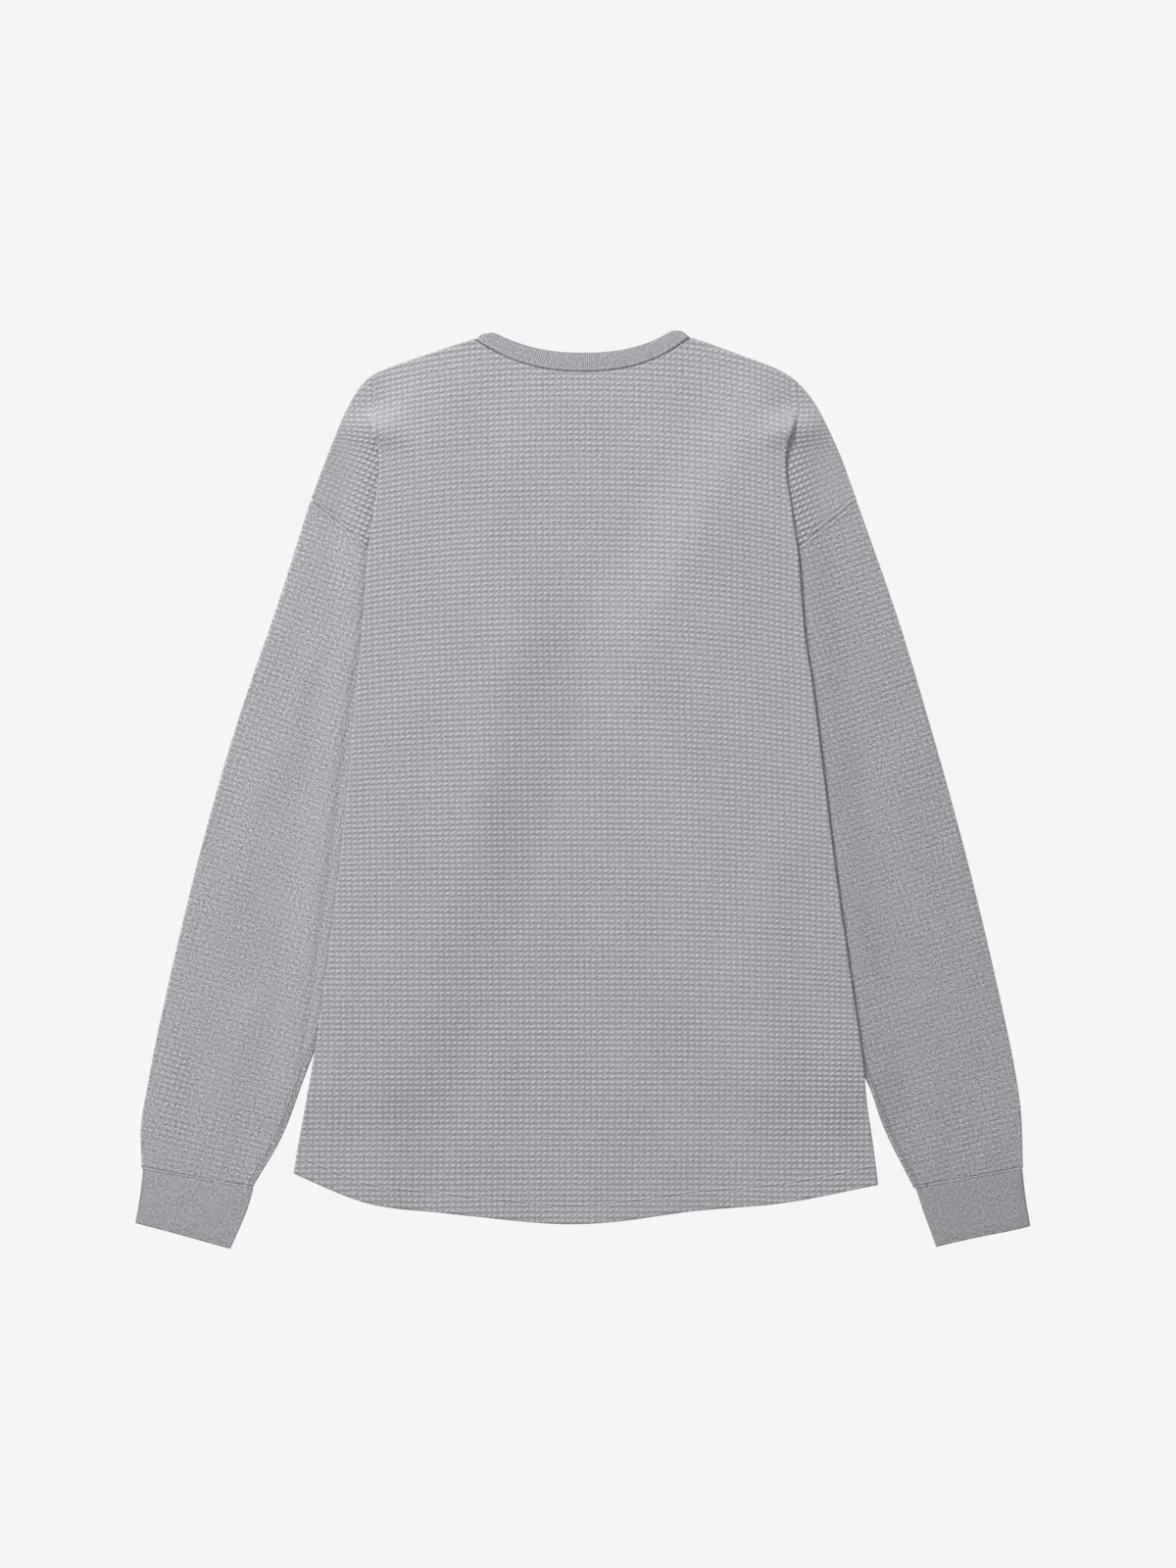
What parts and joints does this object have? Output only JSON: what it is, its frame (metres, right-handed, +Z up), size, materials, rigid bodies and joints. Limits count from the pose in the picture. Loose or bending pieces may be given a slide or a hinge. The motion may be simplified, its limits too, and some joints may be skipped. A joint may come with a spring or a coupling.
{
  "type": "thermal top",
  "caption": "Waffle-knit crew neck top with long sleeves, ribbed neck band and cuffs, laid flat with its back upwards and its sides tucked in.",
  "frame": {"origin": "under the middle of the garment's whole outline, on the surface it lies on", "axes": "+X to the wearer's right, +Y from the hem to the neck, +Z up from the surface; the back of the garment faces +Z"},
  "size_m": [0.7492, 0.769, 0.0136],
  "materials": {
    "waffle_knit": "matte waffle knit, heather grey",
    "rib_knit": "matte fine rib, heather grey"
  },
  "bodies": {
    "root": {"back": "waffle_knit", "front": "waffle_knit", "sleeve_left": "waffle_knit", "sleeve_right": "waffle_knit", "cuff_left": "rib_knit", "cuff_right": "rib_knit", "neck_band": "rib_knit"}
  },
  "joints": []
}
